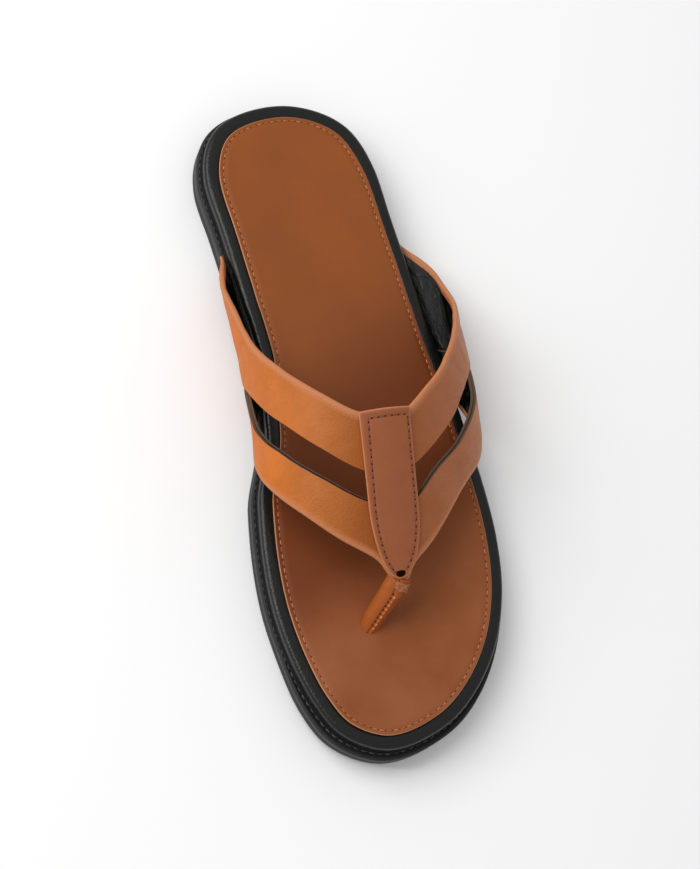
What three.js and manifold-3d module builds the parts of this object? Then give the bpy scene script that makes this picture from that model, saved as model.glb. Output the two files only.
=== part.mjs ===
// A man's leather thong slipper for the left foot, size EU 42, standing empty on its sole.
// Millimetres. Toe towards -Y, heel towards +Y, inner (medial) side towards -X, +Z up, floor at z = 0.
// Pieces: moulded outsole, wrapped footbed, leather insole, upper with two straps a side that meet under
// a centre strip, the centre strip itself, and the rolled toe post.
import * as THREE from "three";
import { mergeVertices } from "three/addons/utils/BufferGeometryUtils.js";
import Module from "manifold-3d";

const wasm = await Module();
wasm.setup();

// Driving dimensions
const GAP = 0.3; // left between pieces that meet along curved faces
const OUTSOLE_THICKNESS = 9.2; // side wall of the outsole at the ball
const FOOTBED_HEIGHT = 7.6; // wrapped footbed from the outsole to its flat top
const INSOLE_THICKNESS = 1.3; // leather insole above the footbed
const MARGIN_WIDTH = 5.4; // from the insole's edge out to the footbed's side wall
const LEDGE_WIDTH = 2.0; // outsole beyond the footbed's side wall
const RIM_RADIUS = 2.0; // rounded top edge of the footbed
const SOLE_EDGE_RADIUS = 1.4; // rounded edges of the outsole
const HEEL_RISE = 1.6; // how much thicker the outsole is under the heel
const ARCH_RELIEF = 1.8; // how far the underside lifts off the floor at the waist
const ARCH_SPAN = { start: -15, full: 25, fade: 45, end: 85 }; // stations of the arch relief
const HEEL_SPAN = { start: -20, full: 80 }; // stations between which the heel rises
const TOE_SPRING = 3.6; // how far the toe's tip lifts off the floor
const TOE_SPRING_START = -72; // the sole starts to turn up here
const LEATHER = 2.4; // upper leather with its lining
const STRIP_THICKNESS = 1.3; // leather of the centre strip
const STRIP_WIDTH = 22.4; // centre strip from side to side
const STRIP_TOP_Y = -15.8; // centre strip's straight end, at the collar
const STRIP_TIP_Y = -79.0; // centre strip's rounded end, at the toe post
const STRIP_TAPER = 22; // length over which the strip rounds off to its tip
const STRIP_TIP_WIDTH = 3; // blunt end of the tip
const STRIP_SHIFT = 0.7; // the strip lies this far to the outer side of the crown line
const LASTING_WIDTH = 12; // strap leather turned in under the footbed
const LASTING_THICKNESS = 2.2; // pressed a little thinner than the strap
const POST_RADIUS = 4.6; // rolled toe post

// Outline of the insole: how far it reaches to each side at each station along the foot
const HEEL_TIP = { x: -13.2, y: 138.5 };
const TOE_TIP = { x: -9.5, y: -138.5 };
const OUTLINE = [
  { y: 131, medial: -38.6, lateral: 8.0 },
  { y: 114, medial: -46.2, lateral: 17.9 },
  { y: 80, medial: -42.0, lateral: 24.4 },
  { y: 40, medial: -36.8, lateral: 31.3 },
  { y: 0, medial: -39.4, lateral: 39.1 },
  { y: -40, medial: -43.8, lateral: 45.1 },
  { y: -62, medial: -44.7, lateral: 46.4 },
  { y: -82, medial: -43.4, lateral: 44.7 },
  { y: -102, medial: -39.3, lateral: 38.4 },
  { y: -120, medial: -33.0, lateral: 26.6 },
  { y: -132, medial: -25.0, lateral: 12.2 },
];

// Crown line of the foot under the upper: its place across and its height at each station
const CROWN = [
  { y: -100, x: 0, z: 30 },
  { y: -79, x: -0.8, z: 38 },
  { y: -46, x: -3, z: 54 },
  { y: -15, x: -4.9, z: 68 },
  { y: 20, x: -6, z: 80 },
  { y: 90, x: -8, z: 98 },
];

// How far the straps stand out beyond the footbed's side wall at their widest
const BULGE = [
  { y: -60, medial: 2.0, lateral: -12 },
  { y: -30, medial: 2.0, lateral: -2.5 },
  { y: 0, medial: 4.2, lateral: 6.0 },
  { y: 28, medial: 9.2, lateral: 9.8 },
  { y: 52, medial: 10.8, lateral: 12.6 },
  { y: 66, medial: 8.5, lateral: 12.0 },
  { y: 80, medial: 5.0, lateral: 7.0 },
];
const BULGE_HEIGHT = 20; // height of the widest line above the floor
const MEDIAL_FULLNESS = 0.5; // 0.55 would be a quarter ellipse, less is a straighter slope
const LATERAL_FULLNESS = 0.4;
const WIDEST = 0.75; // share of the arch from the crown down to the widest line
const WINDOW = { start: 0.1, end: 0.93 }; // shares between which the straps stand apart

// Edges of the straps: their station along the foot, by share of the arch from crown (0) to sole (1)
const MEDIAL_EDGES = [
  { share: 0, collar: -16.5, windowRear: -38, windowFront: -50.5, front: -80 },
  { share: 0.12, collar: -15.2, windowRear: -34.8, windowFront: -48, front: -72 },
  { share: 0.3, collar: -5, windowRear: -23, windowFront: -38.5, front: -57.5 },
  { share: 0.45, collar: 6.5, windowRear: -12.5, windowFront: -27, front: -45 },
  { share: 0.6, collar: 21.5, windowRear: -1.5, windowFront: -15.5, front: -33.5 },
  { share: 0.75, collar: 46, windowRear: 13, windowFront: 1, front: -20 },
  { share: 0.88, collar: 64, windowRear: 22, windowFront: 13, front: -8 },
  { share: 1, collar: 78, windowRear: 28, windowFront: 22, front: 5 },
];
const LATERAL_EDGES = [
  { share: 0, collar: -16.5, windowRear: -38, windowFront: -50.5, front: -80 },
  { share: 0.12, collar: -14.5, windowRear: -36, windowFront: -51, front: -75.5 },
  { share: 0.3, collar: 3.5, windowRear: -21, windowFront: -34.5, front: -60 },
  { share: 0.45, collar: 23, windowRear: -1.5, windowFront: -17, front: -45 },
  { share: 0.6, collar: 41, windowRear: 13, windowFront: -3.5, front: -32 },
  { share: 0.75, collar: 56, windowRear: 20, windowFront: 8, front: -18 },
  { share: 0.88, collar: 68, windowRear: 26, windowFront: 17, front: -6 },
  { share: 1, collar: 78, windowRear: 31, windowFront: 25, front: 5 },
];

// Centre line of the toe post, from inside the footbed up to the tip of the upper
const POST_LINE = [
  { x: -12.4, y: -94.4, z: 12 },
  { x: -11.4, y: -93.1, z: 18 },
  { x: -7.6, y: -88.2, z: 27 },
  { x: -2.6, y: -82.6, z: 34 },
  { x: -0.9, y: -79.5, z: 35.6 },
];

// Smooth curve through the rows of a table
function through(rows, key, column) {
  const sorted = [...rows].sort((a, b) => a[key] - b[key]);
  const last = sorted.length - 1;
  const slopes = sorted.map((row, i) => {
    const before = sorted[Math.max(0, i - 1)];
    const after = sorted[Math.min(last, i + 1)];
    return (after[column] - before[column]) / (after[key] - before[key]);
  });
  return (at) => {
    const inside = Math.min(Math.max(at, sorted[0][key]), sorted[last][key]);
    let i = 0;
    while (i < last - 1 && inside > sorted[i + 1][key]) i += 1;
    const span = sorted[i + 1][key] - sorted[i][key];
    const s = (inside - sorted[i][key]) / span;
    const start = sorted[i][column];
    const end = sorted[i + 1][column];
    return (
      start * (1 + 2 * s) * (1 - s) ** 2 +
      slopes[i] * span * s * (1 - s) ** 2 +
      end * s * s * (3 - 2 * s) +
      slopes[i + 1] * span * s * s * (s - 1)
    );
  };
}

// Heights of the sole's faces at a station along the foot
const { smoothstep } = THREE.MathUtils;
function toeLift(y) {
  const share = Math.max(0, TOE_SPRING_START - y) / (TOE_SPRING_START - TOE_TIP.y);
  return TOE_SPRING * share ** 2;
}
function undersideHeight(y) {
  const rising = smoothstep(y, ARCH_SPAN.start, ARCH_SPAN.full);
  const falling = smoothstep(y, ARCH_SPAN.fade, ARCH_SPAN.end);
  return toeLift(y) + ARCH_RELIEF * rising * (1 - falling);
}
const heelLift = (y) => HEEL_RISE * smoothstep(y, HEEL_SPAN.start, HEEL_SPAN.full);
const outsoleTop = (y) => OUTSOLE_THICKNESS + toeLift(y) + heelLift(y);
const footbedTop = (y) => outsoleTop(y) + FOOTBED_HEIGHT;
const insoleTop = (y) => footbedTop(y) + INSOLE_THICKNESS;

// Closed outline of the insole, heel tip first and down the medial side, the same count on each side
const HALF_COUNT = 44;
const outlineCurve = new THREE.CatmullRomCurve3(
  [
    new THREE.Vector3(HEEL_TIP.x, HEEL_TIP.y, 0),
    ...OUTLINE.map((row) => new THREE.Vector3(row.medial, row.y, 0)),
    new THREE.Vector3(TOE_TIP.x, TOE_TIP.y, 0),
    ...[...OUTLINE].reverse().map((row) => new THREE.Vector3(row.lateral, row.y, 0)),
  ],
  true,
  "centripetal",
);
const insoleOutline = Array.from({ length: 2 * HALF_COUNT }, (_, i) => {
  return outlineCurve.getPoint(i / (2 * HALF_COUNT));
});

// The outline moved outwards by a distance, square to itself
function offsetOutline(distance) {
  const count = insoleOutline.length;
  return insoleOutline.map((point, i) => {
    const along = new THREE.Vector3()
      .subVectors(insoleOutline[(i + 1) % count], insoleOutline[(i + count - 1) % count])
      .normalize();
    return new THREE.Vector3(point.x + along.y * distance, point.y - along.x * distance, 0);
  });
}

// Place across of the footbed's side wall at a station, on one side (-1 medial, 1 lateral)
const wallOutline = offsetOutline(MARGIN_WIDTH);
function wallAt(y, side) {
  const count = wallOutline.length;
  let found = 0;
  for (let i = 0; i < count; i += 1) {
    const a = wallOutline[i];
    const b = wallOutline[(i + 1) % count];
    if ((a.y - y) * (b.y - y) <= 0 && a.y !== b.y) {
      const x = a.x + ((b.x - a.x) * (y - a.y)) / (b.y - a.y);
      if (x * side > found * side) found = x;
    }
  }
  return found;
}

// A solid from a list of points and a list of triangles
const SAME_POINT = 1e-3;
function solidOf(points, triangles) {
  const geometry = new THREE.BufferGeometry().setFromPoints(points);
  geometry.setIndex(triangles);
  const merged = mergeVertices(geometry, SAME_POINT);
  return new wasm.Manifold(
    new wasm.Mesh({
      numProp: 3,
      vertProperties: merged.attributes.position.array,
      triVerts: new Uint32Array(merged.index.array),
    }),
  );
}

// A layer of the sole: rings of the outline from bottom to top, closed by a bottom and a top face
function layeredSolid(rings) {
  const count = rings[0].length;
  const half = count / 2;
  const points = rings.flat();
  const triangles = [];
  for (let ring = 0; ring < rings.length - 1; ring += 1) {
    for (let i = 0; i < count; i += 1) {
      const a = ring * count + i;
      const b = ring * count + ((i + 1) % count);
      triangles.push(a, b, b + count, a, b + count, a + count);
    }
  }
  const top = (rings.length - 1) * count;
  for (let i = 0; i < half; i += 1) {
    const medial = [i, i + 1];
    const lateral = [(count - i) % count, count - i - 1];
    if (i > 0) {
      triangles.push(medial[0], lateral[0], medial[1]);
      triangles.push(top + medial[0], top + medial[1], top + lateral[0]);
    }
    if (i < half - 1) {
      triangles.push(medial[1], lateral[0], lateral[1]);
      triangles.push(top + medial[1], top + lateral[1], top + lateral[0]);
    }
  }
  return solidOf(points, triangles);
}

// A ring of the outline, moved outwards, at the height that a function of the station gives
function ringAt(distance, height) {
  return offsetOutline(distance).map((point) => new THREE.Vector3(point.x, point.y, height(point.y)));
}

// Rings that round an edge by an arc about a centre line at the given height
const ARC_STEPS = 3;
function roundedRings(distance, height, radius, fromDegrees, toDegrees) {
  return Array.from({ length: ARC_STEPS + 1 }, (_, i) => {
    const angle = THREE.MathUtils.degToRad(THREE.MathUtils.lerp(fromDegrees, toDegrees, i / ARC_STEPS));
    return ringAt(
      distance - radius + radius * Math.cos(angle),
      (y) => height(y) + radius * Math.sin(angle),
    );
  });
}

// A sheet with a thickness: rows of outer points and the matching inner points, closed all round.
// Seen from outside, the columns run to the left of the rows.
function sheetSolid(outer, inner) {
  const rows = outer.length;
  const columns = outer[0].length;
  const points = [...outer.flat(), ...inner.flat()];
  const below = rows * columns;
  const at = (row, column) => row * columns + column;
  const triangles = [];
  const quad = (a, b, c, d) => triangles.push(a, b, c, a, c, d);
  const rim = (a, b) => quad(a, below + a, below + b, b);
  for (let row = 0; row < rows - 1; row += 1) {
    for (let column = 0; column < columns - 1; column += 1) {
      const corners = [at(row, column), at(row + 1, column), at(row + 1, column + 1), at(row, column + 1)];
      const under = corners.map((corner) => below + corner).reverse();
      quad(...corners);
      quad(...under);
    }
    rim(at(row, 0), at(row + 1, 0));
    rim(at(row + 1, columns - 1), at(row, columns - 1));
  }
  for (let column = 0; column < columns - 1; column += 1) {
    rim(at(0, column + 1), at(0, column));
    rim(at(rows - 1, column), at(rows - 1, column + 1));
  }
  return solidOf(points, triangles);
}

// The upper's outer face: a point at a station, by signed share of the arch (-1 medial sole, 1 lateral sole)
const crownX = through(CROWN, "y", "x");
const crownZ = through(CROWN, "y", "z");
const bulge = { "-1": through(BULGE, "y", "medial"), 1: through(BULGE, "y", "lateral") };
const fullness = { "-1": MEDIAL_FULLNESS, 1: LATERAL_FULLNESS };
function upperPoint(y, share) {
  const side = share < 0 ? -1 : 1;
  const wall = wallAt(y, side);
  const base = { x: wall + side * (GAP + LEATHER), z: outsoleTop(y) + GAP };
  const widest = { x: wall + side * bulge[side](y), z: BULGE_HEIGHT };
  const crown = { x: crownX(y), z: crownZ(y) };
  const down = Math.abs(share);
  if (down <= WIDEST) {
    const s = down / WIDEST;
    const near = 3 * s * (1 - s) ** 2;
    const far = 3 * s * s * (1 - s);
    const sideways = (1 - s) ** 3 * crown.x + near * (crown.x + fullness[side] * (widest.x - crown.x));
    const upright = ((1 - s) ** 3 + near) * crown.z;
    return new THREE.Vector3(
      sideways + (far + s ** 3) * widest.x,
      y,
      upright + far * (widest.z + fullness[side] * (crown.z - widest.z)) + s ** 3 * widest.z,
    );
  }
  const s = (down - WIDEST) / (1 - WIDEST);
  return new THREE.Vector3(
    base.x + (widest.x - base.x) * Math.cos((s * Math.PI) / 2),
    y,
    widest.z + (base.z - widest.z) * s,
  );
}

// The same point moved square to the face, outwards for a positive distance
function upperOffset(y, share, distance) {
  const step = 0.01;
  const across = new THREE.Vector3().subVectors(
    upperPoint(y, Math.min(1, share + step)),
    upperPoint(y, Math.max(-1, share - step)),
  );
  const along = new THREE.Vector3().subVectors(upperPoint(y + 1, share), upperPoint(y - 1, share));
  const normal = across.cross(along).normalize();
  return upperPoint(y, share).addScaledVector(normal, distance);
}

// Station of a strap edge at a signed share of the arch
function edgeCurve(column) {
  const medial = through(MEDIAL_EDGES, "share", column);
  const lateral = through(LATERAL_EDGES, "share", column);
  return (share) => (share < 0 ? medial(-share) : lateral(share));
}
const edge = {
  collar: edgeCurve("collar"),
  windowRear: edgeCurve("windowRear"),
  windowFront: edgeCurve("windowFront"),
  front: edgeCurve("front"),
};

// A patch of the upper between two edges, from one share of the arch to another
function upperPatch({ from, to, rows, columns, frontEdge, rearEdge, outside, inside }) {
  const grid = (distance) =>
    Array.from({ length: rows + 1 }, (_, row) => {
      const share = from + ((to - from) * row) / rows;
      return Array.from({ length: columns + 1 }, (__, column) => {
        const y = THREE.MathUtils.lerp(frontEdge(share), rearEdge(share), column / columns);
        return upperOffset(y, share, distance);
      });
    });
  return sheetSolid(grid(outside), grid(inside));
}

// Strap ends turned in between footbed and outsole on one side. As a cutter it also opens downwards.
const LASTING_STEPS = 14;
function lastingStrip(side, clearance) {
  const front = edge.front(side) - clearance;
  const rear = edge.collar(side) + clearance;
  const rows = Array.from({ length: LASTING_STEPS + 1 }, (_, i) => {
    return THREE.MathUtils.lerp(front, rear, i / LASTING_STEPS);
  });
  const bottom = clearance > 0 ? -GAP - clearance : 0;
  const face = (height) =>
    rows.map((y) => {
      const wall = wallAt(y, side);
      const outside = wall + side * (GAP + LEATHER + clearance);
      const inside = wall - side * (LASTING_WIDTH + clearance);
      const pair = side < 0 ? [inside, outside] : [outside, inside];
      return pair.map((x) => new THREE.Vector3(x, y, outsoleTop(y) + GAP + height));
    });
  return sheetSolid(face(LASTING_THICKNESS + clearance), face(bottom));
}

// The upper, with a clearance all round when it is used as a cutter
function upperSolid(clearance) {
  const body = upperPatch({
    from: -1,
    to: 1,
    rows: 56,
    columns: 12,
    frontEdge: (share) => edge.front(share) - clearance,
    rearEdge: (share) => edge.collar(share) + clearance,
    outside: clearance,
    inside: -LEATHER - clearance,
  });
  return body.add(lastingStrip(-1, clearance)).add(lastingStrip(1, clearance));
}

// What is cut out between the two straps of one side
function windowSolid(side) {
  return upperPatch({
    from: side < 0 ? -WINDOW.end : WINDOW.start,
    to: side < 0 ? -WINDOW.start : WINDOW.end,
    rows: 26,
    columns: 2,
    frontEdge: edge.windowFront,
    rearEdge: edge.windowRear,
    outside: LEATHER / 2,
    inside: -1.5 * LEATHER,
  });
}

// Centre strip: parallel sides that round off to the tip
const TIP_ROUNDING = 2.4; // 2 would be an ellipse, more is squarer
function stripHalfWidth(y) {
  const taper = THREE.MathUtils.clamp((STRIP_TIP_Y + STRIP_TAPER - y) / STRIP_TAPER, 0, 1);
  const rounded = (STRIP_WIDTH / 2) * Math.sqrt(1 - taper ** TIP_ROUNDING);
  return Math.max(STRIP_TIP_WIDTH / 2, rounded);
}

// Signed share of the arch at which the upper's face reaches a place across
const HALVINGS = 24;
function shareAt(y, x) {
  const side = x < crownX(y) ? -1 : 1;
  let low = 0;
  let high = WIDEST;
  for (let i = 0; i < HALVINGS; i += 1) {
    const middle = (low + high) / 2;
    if (Math.abs(upperPoint(y, side * middle).x - crownX(y)) < Math.abs(x - crownX(y))) low = middle;
    else high = middle;
  }
  return (side * (low + high)) / 2;
}

// The centre strip, with a clearance all round when it is used as a cutter. Its rows close up at the tip.
function stripSolid(clearance) {
  const rows = 30;
  const columns = 8;
  const grid = (distance) =>
    Array.from({ length: rows + 1 }, (_, row) => {
      const toTip = Math.sin((row / rows) * (Math.PI / 2));
      const y = THREE.MathUtils.lerp(STRIP_TOP_Y + clearance, STRIP_TIP_Y - clearance, toTip);
      const half = stripHalfWidth(y) + clearance;
      return Array.from({ length: columns + 1 }, (__, column) => {
        const x = crownX(y) + STRIP_SHIFT + half * ((2 * column) / columns - 1);
        return upperOffset(y, shareAt(y, x), distance);
      });
    });
  return sheetSolid(grid(GAP + STRIP_THICKNESS + clearance), grid(GAP - clearance));
}

// The toe post: a round roll of leather along its centre line
function postSolid(clearance) {
  const line = POST_LINE.map((point) => new THREE.Vector3(point.x, point.y, point.z));
  line[0].z -= clearance;
  const curve = new THREE.CatmullRomCurve3(line, false, "centripetal");
  const roll = new THREE.Shape();
  roll.absarc(0, 0, POST_RADIUS + clearance, 0, 2 * Math.PI);
  const geometry = new THREE.ExtrudeGeometry(roll, { steps: 20, extrudePath: curve, curveSegments: 8 });
  const position = geometry.attributes.position;
  const points = Array.from({ length: position.count }, (_, i) => {
    return new THREE.Vector3().fromBufferAttribute(position, i);
  });
  return solidOf(points, [...points.keys()]);
}

// A named mesh from a solid
function pieceOf(name, solid, colour, roughness) {
  const mesh = solid.getMesh();
  const geometry = new THREE.BufferGeometry();
  geometry.setAttribute("position", new THREE.BufferAttribute(new Float32Array(mesh.vertProperties), 3));
  geometry.setIndex(new THREE.BufferAttribute(new Uint32Array(mesh.triVerts), 1));
  geometry.computeVertexNormals();
  const material = new THREE.MeshStandardMaterial({ color: colour, roughness, metalness: 0 });
  const piece = new THREE.Mesh(geometry, material);
  piece.name = name;
  return piece;
}

// The solids
const outsoleWidth = MARGIN_WIDTH + LEDGE_WIDTH;
const outsole = layeredSolid([
  ...roundedRings(outsoleWidth, (y) => undersideHeight(y) + SOLE_EDGE_RADIUS, SOLE_EDGE_RADIUS, -90, 0),
  ...roundedRings(outsoleWidth, (y) => outsoleTop(y) - SOLE_EDGE_RADIUS, SOLE_EDGE_RADIUS, 0, 90),
]);
const postCutter = postSolid(GAP);
const footbed = layeredSolid([
  ringAt(MARGIN_WIDTH, (y) => outsoleTop(y) + GAP),
  ...roundedRings(MARGIN_WIDTH, (y) => footbedTop(y) - RIM_RADIUS, RIM_RADIUS, 0, 90),
])
  .subtract(lastingStrip(-1, GAP))
  .subtract(lastingStrip(1, GAP))
  .subtract(postCutter);
const insole = layeredSolid([
  ringAt(0, (y) => footbedTop(y) + GAP),
  ringAt(0, insoleTop),
]).subtract(postCutter);
const upper = upperSolid(0).subtract(windowSolid(-1)).subtract(windowSolid(1));
const vampStrip = stripSolid(0);
const toePost = postSolid(0).subtract(upperSolid(GAP)).subtract(stripSolid(GAP));

const slipper = new THREE.Group();
slipper.name = "slipper";
slipper.add(
  pieceOf("outsole", outsole, "#1c1c1d", 0.6),
  pieceOf("footbed", footbed, "#222223", 0.45),
  pieceOf("insole", insole, "#965a33", 0.6),
  pieceOf("upper", upper, "#b5652f", 0.5),
  pieceOf("vamp_strip", vampStrip, "#9c5c3a", 0.55),
  pieceOf("toe_post", toePost, "#b0622e", 0.5),
);

export default slipper;
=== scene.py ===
"""A man's leather thong slipper for the left foot, standing empty on a pale studio floor.

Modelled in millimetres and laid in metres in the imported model's frame: toe towards -Y, inner (medial)
side towards -X, floor at z = 0. The sections follow the slipper as it is put together.
"""
import bisect
import math

import bmesh
import bpy
from mathutils import Matrix, Vector


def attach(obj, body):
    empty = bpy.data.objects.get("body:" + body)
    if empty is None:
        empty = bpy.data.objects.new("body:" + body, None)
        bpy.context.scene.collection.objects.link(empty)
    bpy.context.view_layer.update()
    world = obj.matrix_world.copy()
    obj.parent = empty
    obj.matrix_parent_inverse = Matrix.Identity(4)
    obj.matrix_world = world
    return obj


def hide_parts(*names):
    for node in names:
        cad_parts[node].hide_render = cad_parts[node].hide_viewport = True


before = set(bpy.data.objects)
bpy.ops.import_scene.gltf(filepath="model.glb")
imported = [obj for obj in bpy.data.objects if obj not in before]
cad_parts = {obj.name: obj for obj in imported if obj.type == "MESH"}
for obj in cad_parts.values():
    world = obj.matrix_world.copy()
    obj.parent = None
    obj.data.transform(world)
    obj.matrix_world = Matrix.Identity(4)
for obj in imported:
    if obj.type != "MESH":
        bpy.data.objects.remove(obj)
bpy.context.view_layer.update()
MM = 0.001

# Camera: it looks down on the slipper from the inner side and the toe, rolled so that the heel leans
# left, and is aimed at the middle of the straps. The lens is for a sensor 36 mm on its long side.
CAMERA_AIM = Vector((-6.6, -10.2, 20)) * MM
CAMERA_DISTANCE = 0.865
CAMERA_TO_INNER_SIDE = math.radians(16.5)
CAMERA_TO_TOE = math.radians(17)
CAMERA_ROLL = math.radians(9)
CAMERA_LENS = 84.9
camera_back = Vector((-math.tan(CAMERA_TO_INNER_SIDE), -math.tan(CAMERA_TO_TOE), 1)).normalized()
level_up = (Vector((0, 1, 0)) - camera_back * camera_back.y).normalized()
level_right = level_up.cross(camera_back)
camera_up = level_up * math.cos(CAMERA_ROLL) + level_right * math.sin(CAMERA_ROLL)
camera_right = level_right * math.cos(CAMERA_ROLL) - level_up * math.sin(CAMERA_ROLL)
camera_axes = Matrix((camera_right, camera_up, camera_back)).transposed().to_4x4()
bpy.ops.object.camera_add()
camera = bpy.context.object
camera.name = "camera"
camera.data.lens = CAMERA_LENS
camera.data.clip_start = 0.01
camera.matrix_world = Matrix.Translation(CAMERA_AIM + camera_back * CAMERA_DISTANCE) @ camera_axes
bpy.context.scene.camera = camera

# Outsole: a unit sole of black foamed rubber, moulded in one piece, with a stitched channel on the ledge
# round the footbed, rounded edges, a slight toe spring and a shallow relief under the arch.
# The outline and the heights are read from the rims of the frame's insole and outsole.
INSOLE_THICKNESS = 1.3
FOOTBED_HEIGHT = 7.6
MARGIN_WIDTH = 5.4  # from the insole's edge out to the footbed's side wall
LEDGE_WIDTH = 2.0  # outsole beyond the footbed's side wall
CHANNEL_OFFSET = 6.1  # middle of the stitched channel on the ledge, from the insole's edge
CHANNEL_DEPTH = 0.5
CHANNEL_INNER = 0.45  # the channel's banks, from its middle
CHANNEL_OUTER = 0.35
TUCK = 1.5  # how far the outsole's top runs in under the footbed's wall
WALL_LINE = 4.9  # height of the fine mould line round the side wall
WALL_LINE_WIDTH = 0.3
WALL_LINE_DEPTH = 0.2
LEDGE_RADIUS = 0.9
SOLE_EDGE_RADIUS = 1.4
TOE_SWELL = 1.5  # the outsole stands out this much further round the toe
TOE_SWELL_START = -90
TOE_SWELL_LENGTH = 40
HEEL_SPREAD = 0.24  # the margin round the insole is this share wider behind the heel
HEEL_SPREAD_FROM = 0.7  # from this far outside the insole's edge
HEEL_SPREAD_START = 92
HEEL_SPREAD_LENGTH = 36
WAIST_HOLLOW = {"y": (-42, -33, -14, 0, 26, 38, 52), "inwards": (0, 0.2, 3.7, 4.0, 3.0, 1.4, 0)}
WAIST_REACH = 60
TREAD_BORDER = 5.0  # flat border round the recessed underside
TREAD_DEPTH = 0.9
FLAT_FACE = 0.985  # upright part of a flat face's normal
RIM_STEPS = 4  # points for each point of the frame's rim
CAP_SPAN = 40  # points of a sole cap's short side, round the heel and the toe
CAP_TURN = -64  # puts that side in the middle of the heel


def face_rim(node, side):
    """The rim of a node's top (1) or bottom (-1) face in order from the heel, medial side first."""
    shell = bmesh.new()
    shell.from_mesh(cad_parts[node].data)
    bmesh.ops.remove_doubles(shell, verts=shell.verts, dist=0.01 * MM)
    shell.normal_update()
    flat = {face for face in shell.faces if side * face.normal.z > FLAT_FACE}
    beside = {}
    for edge in shell.edges:
        if sum(face in flat for face in edge.link_faces) == 1:
            for vertex in edge.verts:
                beside.setdefault(vertex, []).append(edge.other_vert(vertex))
    heel = max(beside, key=lambda vertex: vertex.co.y)
    walk = [heel, min(beside[heel], key=lambda vertex: vertex.co.x)]
    while walk[-1] is not heel:
        walk.append([vertex for vertex in beside[walk[-1]] if vertex is not walk[-2]][0])
    points = [vertex.co / MM for vertex in walk[:-1]]
    shell.free()
    return points


def rounded_loop(points):
    """More points on a smooth closed curve through the given ones."""
    loop = []
    for i in range(len(points)):
        a, b, c, d = (points[(i + k) % len(points)] for k in (-1, 0, 1, 2))
        for k in range(RIM_STEPS):
            t = k / RIM_STEPS
            turn = (c - a) * t * (1 - t) ** 2 / 2 - (d - b) * t * t * (1 - t) / 2
            loop.append(b + (c - b) * t * t * (3 - 2 * t) + turn)
    return loop


def by_station(points, axis):
    """How high or how far across the points lie, as a function of the station along the slipper."""
    ordered = sorted((point.y, point[axis]) for point in points)
    stations = [station for station, value in ordered]

    def value_at(y):
        i = min(max(bisect.bisect(stations, y), 1), len(ordered) - 1)
        (y0, value0), (y1, value1) = ordered[i - 1], ordered[i]
        share = 0 if y1 == y0 else min(max((y - y0) / (y1 - y0), 0), 1)
        return value0 + (value1 - value0) * share

    return value_at


def through(keys, values):
    """A smooth curve through the rows of a table."""
    last = len(keys) - 1
    slopes = []
    for i in range(last + 1):
        before = max(0, i - 1)
        after = min(last, i + 1)
        slopes.append((values[after] - values[before]) / (keys[after] - keys[before]))

    def curve(at):
        at = min(max(at, keys[0]), keys[last])
        i = min(max(bisect.bisect(keys, at) - 1, 0), last - 1)
        span = keys[i + 1] - keys[i]
        s = (at - keys[i]) / span
        return (
            values[i] * (1 + 2 * s) * (1 - s) ** 2
            + slopes[i] * span * s * (1 - s) ** 2
            + values[i + 1] * s * s * (3 - 2 * s)
            + slopes[i + 1] * span * s * s * (s - 1)
        )

    return curve


def hollowed(points):
    """The outline drawn in along the inner side, where the arch of the foot is."""
    hollow = through(WAIST_HOLLOW["y"], WAIST_HOLLOW["inwards"])
    moved = []
    for point in points:
        inner_side = point.x < 0 and abs(point.y) < WAIST_REACH
        moved.append(point + Vector((hollow(point.y) if inner_side else 0, 0, 0)))
    return moved


outline = hollowed(rounded_loop(face_rim("insole", 1)))
insole_top = by_station(outline, 2)
underside = by_station(face_rim("outsole", -1), 2)
outline_off = []
for i in range(len(outline)):
    ahead = outline[(i + 1) % len(outline)] - outline[i - 1]
    outline_off.append(Vector((ahead.y, -ahead.x, 0)).normalized())


def footbed_top(y):
    return insole_top(y) - INSOLE_THICKNESS


def outsole_top(y):
    return footbed_top(y) - FOOTBED_HEIGHT


def sole_ring(offset, height, lift=0.0, swell=0.0):
    """The sole's outline moved outwards by an offset, and by a swell more at the toe, at the height of a
    function of the station."""
    ring = []
    for point, off in zip(outline, outline_off):
        to_toe = min(max((TOE_SWELL_START - point.y) / TOE_SWELL_LENGTH, 0), 1)
        to_heel = min(max((point.y - HEEL_SPREAD_START) / HEEL_SPREAD_LENGTH, 0), 1)
        spread = 1 + HEEL_SPREAD * to_heel * to_heel * (3 - 2 * to_heel) if offset > HEEL_SPREAD_FROM else 1
        moved = point + off * (offset * spread + swell * to_toe * to_toe * (3 - 2 * to_toe))
        ring.append(Vector((moved.x, moved.y, height(moved.y) + lift)))
    return ring


def sole_arc(offset, height, radius, start, end, steps=5, swell=0.0):
    """Rings that round an edge, from one angle in degrees to another, inside an offset and a height."""
    rings = []
    for k in range(steps + 1):
        angle = math.radians(start + (end - start) * k / steps)
        out = offset - radius + radius * math.cos(angle)
        rings.append(sole_ring(out, height, radius * math.sin(angle), swell))
    return rings


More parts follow.
